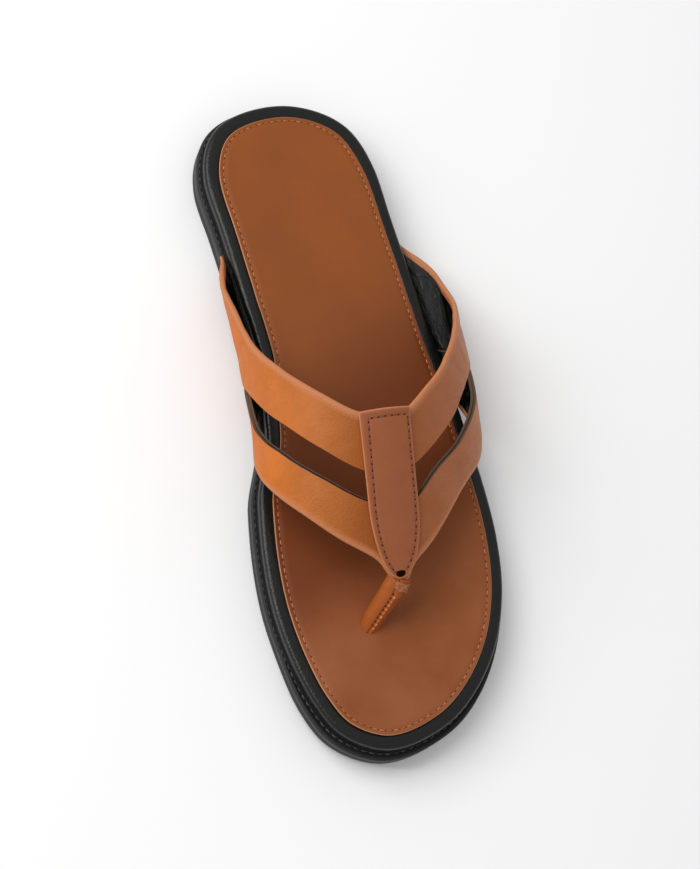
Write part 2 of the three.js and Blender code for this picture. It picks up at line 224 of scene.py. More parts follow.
def ringed_piece(name, rings, first_cap, last_cap, span=CAP_SPAN, turn=CAP_TURN):
    """A circle laid on the first ring and extruded from ring to ring, with each end closed by a grid of
    faces that a function of the place lays."""
    bpy.ops.object.select_all(action="DESELECT")
    bpy.ops.mesh.primitive_circle_add(vertices=len(rings[0]), radius=0.1)
    piece = bpy.context.object
    piece.name = name
    order = piece.data.attributes.new("order", "INT", "POINT")
    order.data.foreach_set("value", range(len(rings[0])))
    piece.data.attributes.new("ring", "FLOAT", "POINT")
    bpy.ops.object.mode_set(mode="EDIT")
    mesh = bmesh.from_edit_mesh(piece.data)
    caps = {0: first_cap, len(rings) - 1: last_cap}
    for number, ring in enumerate(rings):
        if number:
            bpy.ops.mesh.extrude_edges_indiv()
        order = mesh.verts.layers.int["order"]
        ring_number = mesh.verts.layers.float["ring"]
        for vertex in mesh.verts:
            if vertex.select:
                vertex.co = ring[vertex[order]] * MM
                vertex[ring_number] = number
        if number in caps:
            before = set(mesh.verts)
            bpy.ops.mesh.fill_grid(span=span, offset=turn)
            for vertex in mesh.verts:
                if vertex not in before:
                    vertex.co = caps[number](vertex.co / MM) * MM
            bpy.ops.mesh.select_all(action="DESELECT")
            for edge in mesh.edges:
                if edge.is_boundary:
                    edge.select_set(True)
    bpy.ops.mesh.select_all(action="SELECT")
    bpy.ops.mesh.normals_make_consistent(inside=False)
    bpy.ops.object.mode_set(mode="OBJECT")
    piece.data.attributes.remove(piece.data.attributes["order"])
    bpy.ops.object.shade_smooth_by_angle(angle=math.radians(50))
    return piece


FACTOR = 0  # sockets of a Mix node that mixes colours, and its output
TONE_A = 6
TONE_B = 7
MIXED = 2


def colour(value):
    """An sRGB hex colour as linear red, green, blue and alpha."""
    channels = [int(value[i : i + 2], 16) / 255 for i in (1, 3, 5)]
    linear = [c / 12.92 if c <= 0.04045 else ((c + 0.055) / 1.055) ** 2.4 for c in channels]
    return (*linear, 1)


def new_material(name, settings):
    """A material, with its shader's own sockets set."""
    material = bpy.data.materials.new(name)
    material.use_nodes = True
    shader = material.node_tree.nodes["Principled BSDF"]
    for socket, value in settings.items():
        shader.inputs[socket].default_value = colour(value) if isinstance(value, str) else value
    return material


def output_of(value):
    """A node stands for its first output, and a Mix node for its colour."""
    if isinstance(value, bpy.types.Node):
        return value.outputs[MIXED if value.bl_idname == "ShaderNodeMix" else 0]
    return value


def add(material, kind, inputs=None, **settings):
    """A node with its settings, and its inputs set to a value or linked to another node."""
    tree = material.node_tree
    node = tree.nodes.new("ShaderNode" + kind)
    for name, value in settings.items():
        setattr(node, name, value)
    for socket, value in (inputs or {}).items():
        value = colour(value) if isinstance(value, str) else output_of(value)
        if isinstance(value, bpy.types.NodeSocket):
            tree.links.new(value, node.inputs[socket])
        else:
            node.inputs[socket].default_value = value
    return node


def finish_material(material, base=None, height=None, depth=0.1, roughness=None):
    """Links a colour, a roughness and a bump of a depth in millimetres to a material's shader."""
    tree = material.node_tree
    shader = tree.nodes["Principled BSDF"]
    if base:
        tree.links.new(output_of(base), shader.inputs["Base Color"])
    if roughness:
        tree.links.new(output_of(roughness), shader.inputs["Roughness"])
    if height:
        bump = add(material, "Bump", {"Height": height, "Distance": depth * MM})
        tree.links.new(output_of(bump), shader.inputs["Normal"])


def per_mm(size):
    """A pattern scale on Object coordinates, in metres, from the pattern's size in millimetres."""
    return 1 / (size * MM)


def patches(material, size, detail, rough, first, second, span=(0, 1), most=1):
    """Cloudy patches of two tones, of a size in millimetres: the pattern, and the tones mixed by it."""
    spot = add(material, "TexCoord").outputs["Object"]
    pattern = add(
        material, "TexNoise", {"Vector": spot, "Scale": per_mm(size), "Detail": detail, "Roughness": rough}
    )
    share = add(
        material, "MapRange", {"Value": pattern, "From Min": span[0], "From Max": span[1], "To Max": most}
    )
    tones = add(material, "Mix", {FACTOR: share, TONE_A: first, TONE_B: second}, data_type="RGBA")
    return pattern, tones


def keep(piece, slot, *nodes):
    """Fixes a piece to the slipper's one body and hides the frame's nodes that it stands for; the slot,
    which would name its finish, is not used.
    """
    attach(piece, "root")
    if nodes:
        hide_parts(*nodes)


outsole_width = MARGIN_WIDTH + LEDGE_WIDTH
tread_edge = outsole_width - TREAD_BORDER
outsole = ringed_piece(
    "outsole",
    [
        sole_ring(MARGIN_WIDTH - TUCK, outsole_top),
        sole_ring(MARGIN_WIDTH + 0.1, outsole_top),
        sole_ring(CHANNEL_OFFSET - CHANNEL_INNER, outsole_top, -CHANNEL_DEPTH * 0.8),
        sole_ring(CHANNEL_OFFSET, outsole_top, -CHANNEL_DEPTH),
        sole_ring(CHANNEL_OFFSET + CHANNEL_OUTER, outsole_top, -CHANNEL_DEPTH * 0.6),
        *sole_arc(
            outsole_width, lambda y: outsole_top(y) - LEDGE_RADIUS, LEDGE_RADIUS, 100, 0, swell=TOE_SWELL
        ),
        sole_ring(outsole_width, lambda y: underside(y) + WALL_LINE + WALL_LINE_WIDTH, swell=TOE_SWELL),
        sole_ring(outsole_width - WALL_LINE_DEPTH, lambda y: underside(y) + WALL_LINE, swell=TOE_SWELL),
        sole_ring(outsole_width, lambda y: underside(y) + WALL_LINE - WALL_LINE_WIDTH, swell=TOE_SWELL),
        *sole_arc(
            outsole_width,
            lambda y: underside(y) + SOLE_EDGE_RADIUS,
            SOLE_EDGE_RADIUS,
            0,
            -90,
            swell=TOE_SWELL,
        ),
        sole_ring(tread_edge, underside),
        sole_ring(tread_edge - 0.4, underside, TREAD_DEPTH),
    ],
    lambda point: Vector((point.x, point.y, outsole_top(point.y))),
    lambda point: Vector((point.x, point.y, underside(point.y) + TREAD_DEPTH)),
)

# Foamed rubber: a matt black skin with the fine pores of the mould, greyer where it is rubbed. It gives
# a soft grey sheen along rounded edges and no sharp reflection.
foam_rubber = new_material("moulded_foam_rubber", {"Roughness": 0.55, "Specular IOR Level": 0.4, "IOR": 1.5})
coordinates = add(foam_rubber, "TexCoord").outputs["Object"]
pores = add(
    foam_rubber, "TexNoise", {"Vector": coordinates, "Scale": per_mm(0.7), "Detail": 3, "Roughness": 0.7}
)
_, rubbed = patches(foam_rubber, 16, 4, 0.5, "#101011", "#1b1b1b", (0.4, 0.75))
finish_material(foam_rubber, rubbed, pores, 0.12)
outsole.data.materials.append(foam_rubber)
keep(outsole, "outsole_rubber", "outsole")

# Tread: waved ribs moulded across the recessed underside, level with its flat border, of the same rubber.
RIB_PITCH = 5.0
RIB_WIDTH = 2.4
RIB_WAVE = 1.6  # how far a rib swings to each side
RIB_WAVELENGTH = 14.0
RIB_STEPS = 36
TREAD_END = 6  # the first and last ribs lie this far in from the toe and the heel
tread_outline = sole_ring(tread_edge - 0.2, underside)
half_count = len(outline) // 2
tread_medial = by_station(tread_outline[: half_count + 1], 0)
tread_lateral = by_station(tread_outline[half_count:], 0)
bpy.ops.object.select_all(action="DESELECT")
bpy.ops.mesh.primitive_cube_add(size=1)
rib_model = bpy.context.object
bpy.ops.object.mode_set(mode="EDIT")
mesh = bmesh.from_edit_mesh(rib_model.data)
for edge in mesh.edges:
    edge.select_set(abs(edge.verts[0].co.x - edge.verts[1].co.x) > 0.5)
bpy.ops.mesh.subdivide(number_cuts=RIB_STEPS - 1)
bpy.ops.object.mode_set(mode="OBJECT")
tread = []
tread_first = min(point.y for point in tread_outline) + TREAD_END
tread_last = max(point.y for point in tread_outline) - TREAD_END
tread_count = int((tread_last - tread_first) / RIB_PITCH) + 1
for number in range(tread_count):
    station = tread_first + number * RIB_PITCH
    rib = bpy.data.objects.new(f"rib_{number}", rib_model.data.copy())
    bpy.context.collection.objects.link(rib)
    left = tread_medial(station)
    right = tread_lateral(station)
    for vertex in rib.data.vertices:
        x = left + (right - left) * (vertex.co.x + 0.5)
        y = station + RIB_WAVE * math.sin(2 * math.pi * x / RIB_WAVELENGTH) + RIB_WIDTH * vertex.co.y
        z = underside(y) + (TREAD_DEPTH + 0.1 if vertex.co.z > 0 else 0)
        vertex.co = Vector((x, y, z)) * MM
    tread.append(rib)
bpy.data.objects.remove(rib_model)
bpy.ops.object.select_all(action="DESELECT")
for rib in tread:
    rib.select_set(True)
bpy.context.view_layer.objects.active = tread[0]
bpy.ops.object.join()
tread = bpy.context.object
tread.name = "outsole_tread"
tread.data.materials.append(foam_rubber)
keep(tread, "outsole_rubber")

# Footbed: a firm foam core wrapped in thin black coated leather, turned round its top rim and pulled
# under. The wrap shows as the side wall, a rounded rim and a margin round the insole.
RIM_RADIUS = 2.0
WALL_PROFILE = ((-1.2, 0), (-0.35, 0.15), (0.05, 1.4), (0.15, 3.2))  # out from the margin, up from the sole
WALL_TOP = 0.1  # the wall's top stands out this far
MARGIN_PROFILE = ((2.0, 0.12), (0.6, 0.1), (0.1, -0.1), (-1.5, -0.1))  # out from the insole's edge, and up
footbed = ringed_piece(
    "footbed",
    [
        *[sole_ring(MARGIN_WIDTH + out, outsole_top, up) for out, up in WALL_PROFILE],
        *sole_arc(MARGIN_WIDTH + WALL_TOP, lambda y: footbed_top(y) - RIM_RADIUS, RIM_RADIUS, 0, 90, 7),
        *[sole_ring(out, footbed_top, up) for out, up in MARGIN_PROFILE],
    ],
    lambda point: Vector((point.x, point.y, outsole_top(point.y))),
    lambda point: Vector((point.x, point.y, footbed_top(point.y) - 0.1)),
)

# Coated leather: a black film over split leather, embossed with a fine pebble grain and creased where it
# is pulled round the rim. It gives a satin line of light along the rim.
coated_leather = new_material(
    "black_coated_leather", {"Base Color": "#100f0e", "Specular IOR Level": 0.34, "IOR": 1.5}
)
coordinates = add(coated_leather, "TexCoord").outputs["Object"]
pebbles = add(
    coated_leather,
    "TexVoronoi",
    {"Vector": coordinates, "Scale": per_mm(0.9), "Smoothness": 0.6},
    feature="SMOOTH_F1",
)
pulls = add(
    coated_leather, "TexNoise", {"Vector": coordinates, "Scale": per_mm(5), "Detail": 4, "Roughness": 0.6}
)
pulled_pebbles = add(coated_leather, "Math", {0: pulls, 1: 2.2, 2: pebbles}, operation="MULTIPLY_ADD")
satin = add(coated_leather, "MapRange", {"Value": pulls, "To Min": 0.22, "To Max": 0.38})
finish_material(coated_leather, height=pulled_pebbles, depth=0.08, roughness=satin)
footbed.data.materials.append(coated_leather)
keep(footbed, "footbed_wrap", "footbed")

# Insole: one flat piece of brown grain leather, cut to the outline, glued on the footbed and stitched
# round in a shallow channel. The toe post passes through an oval hole in it.
INSOLE_EDGE_RADIUS = 0.45
INSOLE_FOOT = ((-0.6, 0.05), (-0.1, 0.1), (0, 0.5))  # its lower edge: out from the outline, and up
INSOLE_STITCH_INSET = 1.9
INSOLE_CHANNEL_WIDTH = 1.0
INSOLE_CHANNEL_DEPTH = 0.2
POST_HOLE = Vector((-9.9, -90.7, 18))
POST_LEAN = Vector((8.2, 11.4, 16.4))  # the way the toe post leaves its hole
POST_HOLE_RADIUS = 4.2
CHANNEL_BANK = 0.25  # from the channel's edge out to the flat face
BANK_LIFT = 0.05
HOLE_REACH = 2.5  # hole radii from its middle within which its own cut edge lies
CUT_EDGE_END = (5.5, 7)  # ring numbers over which the pale cut edge, its own paler colour with a painted highlight on it, gives way to the leather's face
PAST_EDGE = 12  # ring number that counts as face
DENTS = ((-14, 96, 17, 26, 0.35), (2, -58, 25, 24, 0.3))  # x, y, half width, half length, depth


def insole_dent(x, y):
    """How deep a foot has pressed the leather in under the heel and the ball."""
    deep = 0.0
    for middle_x, middle_y, half_width, half_length, depth in DENTS:
        off_middle = ((x - middle_x) / half_width) ** 2 + ((y - middle_y) / half_length) ** 2
        deep += depth * math.exp(-off_middle)
    return deep


insole = ringed_piece(
    "insole",
    [
        *[sole_ring(out, footbed_top, up) for out, up in INSOLE_FOOT],
        *sole_arc(0, lambda y: insole_top(y) - INSOLE_EDGE_RADIUS, INSOLE_EDGE_RADIUS, 0, 90),
        sole_ring(-INSOLE_STITCH_INSET + INSOLE_CHANNEL_WIDTH / 2 + CHANNEL_BANK, insole_top, BANK_LIFT),
        sole_ring(-INSOLE_STITCH_INSET + INSOLE_CHANNEL_WIDTH / 4, insole_top, -INSOLE_CHANNEL_DEPTH),
        sole_ring(-INSOLE_STITCH_INSET - INSOLE_CHANNEL_WIDTH / 4, insole_top, -INSOLE_CHANNEL_DEPTH),
        sole_ring(-INSOLE_STITCH_INSET - INSOLE_CHANNEL_WIDTH / 2 - CHANNEL_BANK, insole_top, BANK_LIFT),
        sole_ring(-INSOLE_STITCH_INSET - 2.5, insole_top),
    ],
    lambda point: Vector((point.x, point.y, footbed_top(point.y) + 0.05)),
    lambda point: Vector((point.x, point.y, insole_top(point.y) - insole_dent(point.x, point.y))),
)
bpy.ops.object.select_all(action="DESELECT")
bpy.ops.mesh.primitive_cylinder_add(
    vertices=48,
    radius=POST_HOLE_RADIUS * MM,
    depth=16 * MM,
    location=POST_HOLE * MM,
    rotation=POST_LEAN.to_track_quat("Z", "Y").to_euler(),
)
punch = bpy.context.object


def apply_modifier(piece, kind, **settings):
    """Adds a modifier with its settings and applies it."""
    bpy.ops.object.select_all(action="DESELECT")
    piece.select_set(True)
    bpy.context.view_layer.objects.active = piece
    modifier = piece.modifiers.new(kind.lower(), kind)
    for name, value in settings.items():
        setattr(modifier, name, value)
    bpy.ops.object.modifier_apply(modifier=modifier.name)


apply_modifier(insole, "BOOLEAN", operation="DIFFERENCE", object=punch, solver="EXACT")
bpy.data.objects.remove(punch)
for vertex in insole.data.vertices:
    from_hole = vertex.co / MM - POST_HOLE
    if from_hole.length < HOLE_REACH * POST_HOLE_RADIUS:
        insole.data.attributes["ring"].data[vertex.index].value = PAST_EDGE
bpy.ops.object.shade_smooth_by_angle(angle=math.radians(50))


def by_attribute(material, name, span, below, above):
    """One tone below a span of one of the mesh's own attributes, and another above it."""
    value = add(material, "Attribute", attribute_name=name).outputs["Fac"]
    share = add(material, "MapRange", {"Value": value, "From Min": span[0], "From Max": span[1]})
    return add(material, "Mix", {FACTOR: share, TONE_A: below, TONE_B: above}, data_type="RGBA")


# Brown insole leather: vegetable-tanned grain, dyed through and polished flat. It gives a satin face with
# cloudy lighter and darker patches, pinker towards the toe, painted shade in a slanting band under the
# straps where they shadow it, and a pale cut edge, partly its own paler colour and partly a painted
# highlight.
insole_leather = new_material(
    "vegetable_tanned_insole_leather", {"Roughness": 0.5, "Specular IOR Level": 0.25, "IOR": 1.45}
)
coordinates = add(insole_leather, "TexCoord").outputs["Object"]
place = add(insole_leather, "SeparateXYZ", {"Vector": coordinates})
to_toe = add(insole_leather, "MapRange", {"Value": place.outputs["Y"], "From Min": 0.06, "From Max": -0.12})
# Painted shade: a band slanting across the insole under the straps, where they cast their shadow, is mixed
# towards a darker brown.
slanted = add(
    insole_leather,
    "Math",
    {0: place.outputs["X"], 1: -0.6, 2: place.outputs["Y"]},
    operation="MULTIPLY_ADD",
)
from_heel = add(
    insole_leather,
    "MapRange",
    {"Value": slanted, "From Min": 0.055, "From Max": -0.005, "To Max": 0.8},
    interpolation_type="SMOOTHSTEP",
)
from_toe = add(
    insole_leather,
    "MapRange",
    {"Value": slanted, "From Min": -0.085, "From Max": -0.05},
    interpolation_type="SMOOTHSTEP",
)
strap_shadow_mask = add(insole_leather, "Math", {0: from_heel, 1: from_toe}, operation="MULTIPLY")
lengthwise = add(
    insole_leather, "Mix", {FACTOR: to_toe, TONE_A: "#8e4c1c", TONE_B: "#935737"}, data_type="RGBA"
)
_, patched = patches(insole_leather, 30, 5, 0.55, lengthwise, "#854720", (0.3, 0.7))
painted_strap_shadow = add(
    insole_leather, "Mix", {FACTOR: strap_shadow_mask, TONE_A: patched, TONE_B: "#6a3010"}, data_type="RGBA"
)
# The pale cut edge: partly the leather's own paler colour, partly a painted highlight.
pale_edge_and_highlight = by_attribute(insole_leather, "ring", CUT_EDGE_END, "#c08a66", painted_strap_shadow)
pores = add(
    insole_leather,
    "TexVoronoi",
    {"Vector": coordinates, "Scale": per_mm(0.8), "Smoothness": 0.7},
    feature="SMOOTH_F1",
)
finish_material(insole_leather, pale_edge_and_highlight, pores, 0.03)
insole.data.materials.append(insole_leather)
keep(insole, "insole_leather", "insole")

# Insole and ledge stitching: lockstitch in waxed thread, brown in the insole's channel and dark grey in
# the outsole's. Each stitch dips into its holes at both ends.
INSOLE_STITCH_PITCH = 3.0
INSOLE_STITCH = (2.2, 0.6, 0.55)  # along the row, across it and up
INSOLE_STITCH_HOLE = (0.6, 0.55, 0.2)
LEDGE_STITCH_PITCH = 3.4
LEDGE_STITCH = (2.4, 0.7, 0.6)
THREAD_PLY = 0.5
bpy.ops.object.select_all(action="DESELECT")
bpy.ops.mesh.primitive_uv_sphere_add(segments=10, ring_count=7, radius=0.5)
stitch_model = bpy.context.object
bpy.ops.object.shade_smooth()


def evenly(line, pitch, closed, start):
    """Places at an equal pitch along a line of points and face normals, with the way the line runs."""
    line = line + line[:1] if closed else line
    lengths = [0.0]
    for (a, _), (b, _) in zip(line, line[1:]):
        lengths.append(lengths[-1] + (b - a).length)
    count = round(lengths[-1] / pitch)
    places = []
    for k in range(count):
        at = lengths[-1] * (k + start) / count
        i = min(max(bisect.bisect(lengths, at), 1), len(line) - 1)
        share = (at - lengths[i - 1]) / (lengths[i] - lengths[i - 1])
        (a, a_up), (b, b_up) = line[i - 1], line[i]
        places.append((a.lerp(b, share), (b - a).normalized(), a_up.lerp(b_up, share).normalized()))
    return places


def laid_copies(name, model, places, size, lift):
    """Copies of a model, sized in millimetres along, across and up, laid on places and joined."""
    copies = []
    for point, along, up in places:
        across = up.cross(along).normalized()
        turn = Matrix((along, across, across.cross(along) * -1)).transposed().to_4x4()
        at = Matrix.Translation((point + up * lift) * MM)
        copy = bpy.data.objects.new(name, model.data.copy())
        copy.data.transform(at @ turn @ Matrix.Diagonal((*(Vector(size) * MM), 1)))
        bpy.context.collection.objects.link(copy)
        copies.append(copy)
    bpy.ops.object.select_all(action="DESELECT")
    for copy in copies:
        copy.select_set(True)
    bpy.context.view_layer.objects.active = copies[0]
    bpy.ops.object.join()
    copies[0].name = name
    return copies[0]


def sew(name, line, pitch, closed, start, size, lift, material, slot):
    """A row of stitches, or of their holes, along a line."""
    row = laid_copies(name, stitch_model, evenly(line, pitch, closed, start), size, lift)
    row.data.materials.append(material)
    keep(row, slot)


def thread_material(name, light, dark):
    """Waxed polyester thread: twisted plies that give fine slanting bands of light and dark."""
    thread = new_material(name, {"Roughness": 0.55, "Sheen Weight": 0.2, "Sheen Roughness": 0.4})
    place = add(thread, "TexCoord").outputs["Object"]
    twist = add(
        thread,
        "TexWave",
        {"Vector": place, "Scale": per_mm(THREAD_PLY) / 20, "Distortion": 1},
        bands_direction="DIAGONAL",
    )
    plies = add(thread, "Mix", {FACTOR: twist.outputs["Fac"], TONE_A: dark, TONE_B: light}, data_type="RGBA")
    finish_material(thread, plies, twist.outputs["Fac"], 0.05)
    return thread


brown_thread = thread_material("brown_waxed_thread", "#bb6f38", "#955020")
grey_thread = thread_material("grey_waxed_thread", "#4a4a48", "#2a2a29")
# Stitch holes: small dark discs of painted shade where the thread goes in.
awl_hole = new_material(
    "awl_hole_shade", {"Base Color": "#4a2410", "Roughness": 0.9, "Specular IOR Level": 0.1}
)
up = Vector((0, 0, 1))
ring = sole_ring(-INSOLE_STITCH_INSET, insole_top, -INSOLE_CHANNEL_DEPTH)
line = [(point, up) for point in ring]
pitch = INSOLE_STITCH_PITCH
sew("insole_stitches", line, pitch, True, 0, INSOLE_STITCH, 0.05, brown_thread, "insole_leather")
sew("insole_stitch_holes", line, pitch, True, 0.5, INSOLE_STITCH_HOLE, 0, awl_hole, "insole_leather")
line = [(point, up) for point in sole_ring(CHANNEL_OFFSET, outsole_top, -CHANNEL_DEPTH)]
pitch = LEDGE_STITCH_PITCH
sew("ledge_stitches", line, pitch, True, 0, LEDGE_STITCH, 0.15, grey_thread, "outsole_rubber")

# Last: the form that the upper is pulled over. A point on it is given by its station along the foot and a
# signed share of the arch, from -1 at the medial side of the sole over 0 at the crown to 1 at the lateral.
LEATHER = 2.4  # strap leather with its lining
LAST_GAP = 0.3
CROWN = {
    "y": (-100, -79, -46, -15, 20, 90),
    "x": (0, -0.8, -3, -4.9, -6, -8),
    "z": (30, 38, 54, 68, 80, 98),
}
BULGE = {  # how far the straps stand out beyond the footbed's side wall at their widest
    "y": (-60, -40, -30, -18, -8, 0, 14, 28, 52, 66, 80),
    "medial": (2.0, 2.0, 3.3, 5.6, 6.9, 7.6, 9.6, 10.6, 9.2, 7.9, 5.0),
    "lateral": (-12, -6.8, -2.0, 2.7, 4.7, 6.2, 8.2, 9.8, 12.6, 12.0, 7.0),
}
BULGE_HEIGHT = 20
MEDIAL_FULLNESS = 0.5
LATERAL_FULLNESS = 0.4
WIDEST = 0.75  # share of the arch from the crown down to the widest line
LOWER_HASTE = 0.8  # how much faster than even the shares run just below that line
SHARE_STEP = 0.01
crown_x = through(CROWN["y"], CROWN["x"])
crown_z = through(CROWN["y"], CROWN["z"])
wall_ring = sole_ring(MARGIN_WIDTH, outsole_top)
sides = {
    -1: (by_station(wall_ring[: half_count + 1], 0), through(BULGE["y"], BULGE["medial"]), MEDIAL_FULLNESS),
    1: (by_station(wall_ring[half_count:], 0), through(BULGE["y"], BULGE["lateral"]), LATERAL_FULLNESS),
}


def last_point(y, share):
    """A curve from the crown out to the widest line, then a quarter of an ellipse in to the sole."""
    side = -1 if share < 0 else 1
    wall, bulge, fullness = sides[side]
    wall_x = wall(y)
    widest_x = wall_x + side * bulge(y)
    down = abs(share)
    if down <= WIDEST:
        x = crown_x(y)
        z = crown_z(y)
        s = down / WIDEST
        near = 3 * s * (1 - s) ** 2
        far = 3 * s * s * (1 - s)
        sideways = (1 - s) ** 3 * x + near * (x + fullness * (widest_x - x)) + (far + s**3) * widest_x
        upright = ((1 - s) ** 3 + near) * z + s**3 * BULGE_HEIGHT
        return Vector((sideways, y, upright + far * (BULGE_HEIGHT + fullness * (z - BULGE_HEIGHT))))
    t = (down - WIDEST) / (1 - WIDEST)
    s = t * (1 + LOWER_HASTE - LOWER_HASTE * t)
    base_x = wall_x + side * (LAST_GAP + LEATHER)
    base_z = outsole_top(y) + LAST_GAP
    x = base_x + (widest_x - base_x) * math.cos(s * math.pi / 2)
    return Vector((x, y, BULGE_HEIGHT + (base_z - BULGE_HEIGHT) * s))


def last_normal(y, share):
    across = last_point(y, min(1, share + SHARE_STEP)) - last_point(y, max(-1, share - SHARE_STEP))
    along = last_point(y + 1, share) - last_point(y - 1, share)
    return across.cross(along).normalized()


def on_last(y, share, lift):
    """A point at a height over the last's face."""
    return last_point(y, share) + last_normal(y, share) * lift


# Straps: two a side, cut with the vamp from one piece of oiled tan leather. The leather is turned in round
# the collar and the front edge, cut raw round the two windows, and lasted in under the footbed.
MEDIAL_EDGES = {  # share of the arch and station of points along each edge of the straps
    "collar": (
        (0, -15.9), (0.12, -15), (0.29, -4.4), (0.43, 6.9), (0.52, 16.1), (0.59, 24), (0.65, 33.5),
        (0.69, 45), (0.75, 58.5), (0.83, 69), (1, 77),
    ),
    "window_rear": (
        (0, -38.5), (0.12, -36.6), (0.3, -25), (0.45, -13.8), (0.6, -1.8), (0.75, 14), (0.83, 21),
        (1, 28),
    ),
    "window_front": (
        (0, -50.5), (0.12, -48), (0.3, -36.8), (0.43, -27.8), (0.51, -21.9), (0.59, -16.6),
        (0.68, -9.6), (0.73, -4.4), (0.76, 2.5), (0.78, 9), (0.8, 13.5), (0.83, 17), (1, 24),
    ),
    "front": (
        (0, -79), (0.03, -78), (0.05, -75.6), (0.07, -72.4), (0.1, -69.6), (0.23, -61.4), (0.38, -50.3),
        (0.57, -36.5), (0.75, -20.5), (0.83, -8), (1, 5),
    ),
}
LATERAL_EDGES = {
    "collar": (
        (0, -15.9), (0.1, -15.4), (0.14, -12.8), (0.21, -6.4), (0.3, 2.3), (0.4, 14.7), (0.48, 24.9),
        (0.6, 38.5), (0.7, 49), (0.75, 56), (0.79, 63), (0.84, 70), (0.92, 76), (1, 79),
    ),
    "window_rear": (
        (0, -38.5), (0.12, -36.5), (0.23, -28.3), (0.31, -20), (0.37, -12.9), (0.42, -5.8),
        (0.47, 0.3), (0.53, 6.7), (0.6, 12.3), (0.66, 16), (0.71, 19.5), (0.77, 23), (0.83, 26.5), (1, 31),
    ),
    "window_front": (
        (0, -50.5), (0.12, -50), (0.3, -34.2), (0.39, -26.2), (0.46, -17.4), (0.54, -8.8), (0.6, -2.4),
        (0.64, 3.5), (0.67, 9.5), (0.69, 15), (0.71, 18), (0.77, 21), (0.83, 24.5), (1, 28),
    ),
    "front": (
        (0, -79), (0.04, -79.6), (0.07, -78.4), (0.095, -75), (0.13, -71.8), (0.21, -66.6),
        (0.29, -60.2), (0.42, -47), (0.5, -40), (0.6, -32), (0.75, -19), (0.83, -7), (1, 5),
    ),
}
OUTER_PLY = 1.15
FOLD_RADIUS = LEATHER / 2
FOLD_STEPS = 8
TURNED_IN = 1.6  # turned-in leather beyond the fold, inside
FOLD_PINCH = 0.4  # how much the folds are pinched where they go in at the sole
PINCH_START = 0.82
EDGE_CLEAR = 4.0  # stations between a folded edge and the first plain column
FRONT_COLUMNS = 20
WINDOW_COLUMNS = 6
REAR_COLUMNS = 26
WINDOW_START = 0.1
WINDOW_END = {-1: 0.82, 1: 0.7}  # how far down each side the window reaches
CREASES = (  # share, station, half length, half width, depth in mm, turn in degrees
    (-0.52, 8, 9, 2.6, 0.35, 35),
    (-0.58, 14, 8, 2.0, -0.3, 38),
    (-0.70, 30, 10, 3.0, 0.4, 25),
    (-0.36, -32, 9, 2.4, 0.25, 60),
    (0.40, 6, 10, 2.6, 0.4, -30),
    (0.50, 14, 9, 2.2, -0.3, -38),
    (0.62, 30, 10, 3.0, 0.45, -20),
    (0.42, -38, 8, 2.4, 0.3, -55),
    (0.20, -24, 8, 2.2, 0.25, -10),
    (-0.20, -26, 7, 2.2, 0.25, 15),
)
ARC_LENGTH = 105  # from crown to sole, to place creases across the straps


def edge_curve(name):
    """An edge's station as a function of the signed share of the arch."""
    medial = through(*zip(*MEDIAL_EDGES[name]))
    lateral = through(*zip(*LATERAL_EDGES[name]))
    return lambda share: medial(-share) if share < 0 else lateral(share)


edges = {name: edge_curve(name) for name in MEDIAL_EDGES}


def crease(y, share):
    """How far the listed creases press the leather in."""
    depth = 0.0
    for crease_share, station, length, width, deep, turn in CREASES:
        across = (share - crease_share) * ARC_LENGTH
        along = y - station
        angle = math.radians(turn)
        lengthwise = across * math.cos(angle) + along * math.sin(angle)
        sideways = along * math.cos(angle) - across * math.sin(angle)
        depth += deep * math.exp(-((lengthwise / length) ** 2) - (sideways / width) ** 2)
    return depth


def off_edge(name, share, inset, depth):
    """A point in from a strap's edge, square to it, and below the leather's face."""
    pinch = 1 - FOLD_PINCH * max(0, (abs(share) - PINCH_START) / (1 - PINCH_START))
    inset *= pinch
    depth *= pinch
    curve = edges[name]
    before = max(-1, share - SHARE_STEP)
    after = min(1, share + SHARE_STEP)
    y = curve(share)
    along = last_point(curve(after), after) - last_point(curve(before), before)
    normal = last_normal(y, share)
    off = along.cross(normal).normalized()
    off = off if (off.y < 0) == (name in ("front", "window_rear")) else -off
    return last_point(y, share) - off * inset - normal * (depth + crease(y, share))


def run(first, last, steps, first_clear, last_clear):
    """Columns between two edges: each is a pair of edges, a share between them and what is kept clear."""
    return [(first, last, k / steps, first_clear, last_clear) for k in range(steps + 1)]


def laid_grid(name, rows, columns, place):
    """A flat blank of leather with its rows and columns of points laid by a function."""
    bpy.ops.object.select_all(action="DESELECT")
    bpy.ops.mesh.primitive_grid_add(x_subdivisions=columns - 1, y_subdivisions=rows - 1, size=1)
    blank = bpy.context.object
    blank.name = name
    for vertex in blank.data.vertices:
        row, column = divmod(vertex.index, columns)
        vertex.co = place(row, column) * MM
    return blank


